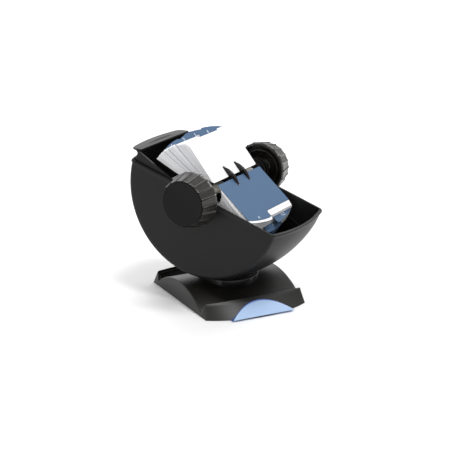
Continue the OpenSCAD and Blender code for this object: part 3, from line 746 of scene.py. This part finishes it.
def make_open_card():
    """White card with two rail slots and small rounded corners, bent back very slightly."""
    columns = leaf_columns()
    deep = slot_depth(OPEN_CARD) + 0.4
    rows = np.unique(np.append(np.linspace(0, CARD_H, 15), deep))
    height = np.repeat(rows[:, None], len(columns), 1)
    end = np.abs(columns) - (CARD_W / 2 - 1.5)
    trim = np.where(end > 0, 1.5 - np.sqrt(np.maximum(1.5 ** 2 - np.maximum(end, 0) ** 2, 0)), 0)
    height = trim + height * (CARD_H - 2 * trim) / CARD_H
    sides = [leaf_points(OPEN_CARD, columns, height, -1.5, s * CARD_T) for s in (0.7, -0.7)]
    points, faces = masked_sheet(*sides, slotted(columns, rows, deep))
    piece("open_card", "open_card", in_tray(points), faces, "card", ("front_card",),
          smooth=False)


def tab_arch(x):
    """Height of the arch that all the tabs share: a circular arc TAB_H high over the card's width."""
    arc_r = (CARD_W ** 2 / 4 + TAB_H ** 2) / (2 * TAB_H)
    return TAB_H - arc_r + np.sqrt(np.maximum(arc_r ** 2 - x ** 2, 0))


def guide_sheet(place, span, bend, lift, thick):
    """Sheet cut back beside its tab, which follows the shared arch; fillets of radius 3 fill the corners."""
    low, high = (CARD_W * (share - 0.5) for share in span)
    fillet = 3.0
    near = fillet * np.linspace(0, 1, 6)
    bend_lines = [*(low + near), *(high - near), *(low - 0.02 - near), *(high + 0.02 + near)]
    columns = leaf_columns(bend_lines, GUIDE_W)
    columns = columns[np.abs(columns) <= GUIDE_W / 2]
    deep = slot_depth(place)
    body = CARD_H - 0.6
    rows = np.append(np.unique(np.append(np.linspace(0, body, 13), deep)), CARD_H + TAB_H)
    height = np.repeat(rows[:, None], len(columns), 1)
    outside = np.clip(np.maximum(low - columns, columns - high) - 0.02, 0, fillet)
    corner = body + fillet - np.sqrt(fillet ** 2 - (fillet - outside) ** 2)
    on_tab = (columns >= low - 1e-3) & (columns <= high + 1e-3)
    in_by = np.clip(TAB_ROUND - np.minimum(columns - low, high - columns), 0, TAB_ROUND)
    rounding = TAB_ROUND - np.sqrt(TAB_ROUND ** 2 - in_by ** 2)
    height[-1] = np.where(on_tab, CARD_H + np.maximum(tab_arch(columns) - rounding, 0.6), corner)
    kept = slotted(columns, rows, deep)
    middle = (columns[1:] + columns[:-1]) / 2
    kept[-1] = (middle > low - fillet - 0.02) & (middle < high + fillet + 0.02)
    sides = [leaf_points(place, columns, height, bend, lift + side * thick / 2) for side in (1, -1)]
    return masked_sheet(*sides, kept)


def make_guide(index):
    span = TAB_SPANS[index % 3]
    place = guide_place(index)
    bend = -2.0 if 0 < index <= REAR_GUIDES else 2.0 if index else 0.0
    points, faces = guide_sheet(place, span, bend, 0.0, GUIDE_T)
    name = "guide_" + LETTERS[index].replace("-", "_")
    piece(name, "wheel", in_tray(points), faces, "guide_blue", (f"index_guide_{index + 1}",),
          smooth=False)
    return place, bend, CARD_W * (sum(span) / 2 - 0.5)


def make_page_backing():
    """White sheets slid out past the open page: one of the page's own outline, one beside its tab."""
    shaped = guide_sheet(PAGE - (0, 0, 3.4), TAB_SPANS[0], 0.0, -0.7, CARD_T)
    place = PAGE - (0, 0, 7.0)
    columns = leaf_columns((STRIP_START, *(STRIP_START + np.linspace(0, STRIP_ROUND, 6))), GUIDE_W)
    columns = columns[columns >= STRIP_START]
    deep = slot_depth(place)
    rows = np.unique(np.append(np.linspace(0, CARD_H, 15), deep))
    end = np.clip(STRIP_ROUND - np.minimum(columns - STRIP_START, GUIDE_W / 2 - columns), 0, STRIP_ROUND)
    trim = STRIP_ROUND - np.sqrt(STRIP_ROUND ** 2 - end ** 2)
    height = np.where(rows[:, None] > CARD_H / 2, rows[:, None] - trim, rows[:, None])
    plain = masked_sheet(*(leaf_points(place, columns, height, 0.0, lift) for lift in (-1.2, -1.5)),
                         slotted(columns, rows, deep))
    points, faces = join([shaped, plain])
    piece("page_backing", "wheel", in_tray(points), faces, "card", (), smooth=False)


def letter_mesh(text, size):
    """Vertices and triangles of a line of letters `size` high, centred, on the XY plane."""
    curve = bpy.data.curves.new("letters", "FONT")
    curve.body = text
    curve.size = size
    curve.align_x = "CENTER"
    curve.align_y = "CENTER"
    curve.resolution_u = 3
    holder = bpy.data.objects.new("letters", curve)
    mesh = bpy.data.meshes.new_from_object(holder)
    points = np.empty((len(mesh.vertices), 3))
    mesh.vertices.foreach_get("co", points.ravel())
    mesh.calc_loop_triangles()
    faces = np.empty((len(mesh.loop_triangles), 3), dtype=np.int32)
    mesh.loop_triangles.foreach_get("vertices", faces.ravel())
    bpy.data.objects.remove(holder)
    bpy.data.curves.remove(curve)
    bpy.data.meshes.remove(mesh)
    return points, faces


def make_letters(places):
    """Printed index letters on both sides of every tab, upright for whoever turns the wheel."""
    sides = []
    for text, (place, bend, x) in zip(LETTERS, places):
        flat, faces = letter_mesh(text, LETTER_H)
        for side in (1, -1):
            lift = side * (GUIDE_T / 2 + INK_T)
            height = CARD_H + LETTER_UP - side * flat[:, 1]
            points = leaf_points(np.repeat(place[None], len(flat), 0), x + flat[:, 0], height, bend, lift)
            sides.append((points, faces[:, ::side]))
    points, faces = join(sides)
    mesh = bpy.data.meshes.new("tab_letters")
    mesh.from_pydata(in_tray(points), [], faces.tolist())
    mesh.materials.append(FINISHES["letter_white"])
    made = bpy.data.objects.new("tab_letters", mesh)
    bpy.context.scene.collection.objects.link(made)
    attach(made, "wheel")


# ---- finishes of the pieces kept from the construction model -----------------------------------
KEPT = {
    "tray_black": ("cover_cheek_left", "cover_cheek_right"),
    "bearing_plastic": ("swivel_washer", "hub_tube", "spacer_tubes"),
    "gloss_black": ("bush_left", "bush_right"),
    "rubber": ("base_pad",),
    "steel": ("base_plate", "base_screws", "neck_screws", "pivot_washer", "pivot_screw", "knob_screws"),
    "dark_steel": ("spindle", "clutch_race", "clutch_balls", "clutch_plate", "clutch_spring", "stop_collar"),
}


def finish_kept_nodes():
    for finish, nodes in KEPT.items():
        for node in nodes:
            mesh = frame["nodes"][node].data
            mesh.materials.clear()
            mesh.materials.append(FINISHES[finish])


# ---- stage -------------------------------------------------------------------------------------
def make_stage():
    """Pale floor, an even sky, and soft lights from the right, from above, from behind and from the left."""
    mesh = bpy.data.meshes.new("floor")
    mesh.from_pydata([(-9, -9, 0), (9, -9, 0), (9, 9, 0), (-9, 9, 0)], [], [(0, 1, 2, 3)])
    floor = bpy.data.objects.new("floor", mesh)
    bpy.context.scene.collection.objects.link(floor)
    pale = Finish("floor_pale", Specular_IOR_Level=0.1)
    pale.feed("Base Color", pale.blend(pale.noise(3.0), (0.93, 0.93, 0.93, 1.0), (0.94, 0.94, 0.94, 1.0)))
    mesh.materials.append(pale.material)
    world = bpy.data.worlds.new("studio")
    world.use_nodes = True
    world.node_tree.nodes["Background"].inputs["Color"].default_value = (1, 1, 1, 1)
    world.node_tree.nodes["Background"].inputs["Strength"].default_value = 0.66
    bpy.context.scene.world = world
    # name, direction towards the light, strength, angular size in degrees
    for name, towards, strength, spread in (("side", (0.76, 0.30, 0.58), 0.9, 24),
                                            ("above", (0.10, -0.32, 0.94), 1.5, 20),
                                            ("back", (0.15, 0.83, 0.45), 0.7, 50),
                                            ("left", (-0.70, -0.50, 0.50), 0.35, 40)):
        light = bpy.data.lights.new(name, "SUN")
        light.energy = strength
        light.angle = math.radians(spread)
        lamp = bpy.data.objects.new(name, light)
        x, y, z = np.array(towards) / np.linalg.norm(towards)
        lamp.rotation_euler = (math.acos(z), 0, math.atan2(x, -y))
        bpy.context.scene.collection.objects.link(lamp)


def make_camera():
    camera = bpy.data.cameras.new("camera")
    camera.lens = 124.2
    camera.sensor_width = 36
    camera.clip_end = 50
    holder = bpy.data.objects.new("camera", camera)
    holder.location = (-0.8467, -1.6565, 0.6931)
    holder.rotation_euler = (math.radians(90 - 18.0), 0, math.radians(-27.0))
    bpy.context.scene.collection.objects.link(holder)
    bpy.context.scene.camera = holder
    bpy.context.scene.view_settings.view_transform = "Standard"


make_stage()
make_camera()
make_base()
make_badge()
make_collar()
make_tray()
make_neck()
make_cover()
make_knob(-1, "near_knob", "knob_left")
make_knob(1, "far_knob", "knob_right")
make_knob_caps()
make_rails()
make_cards()
make_open_card()
make_letters([make_guide(index) for index in range(GUIDES)])
make_page_backing()
finish_kept_nodes()
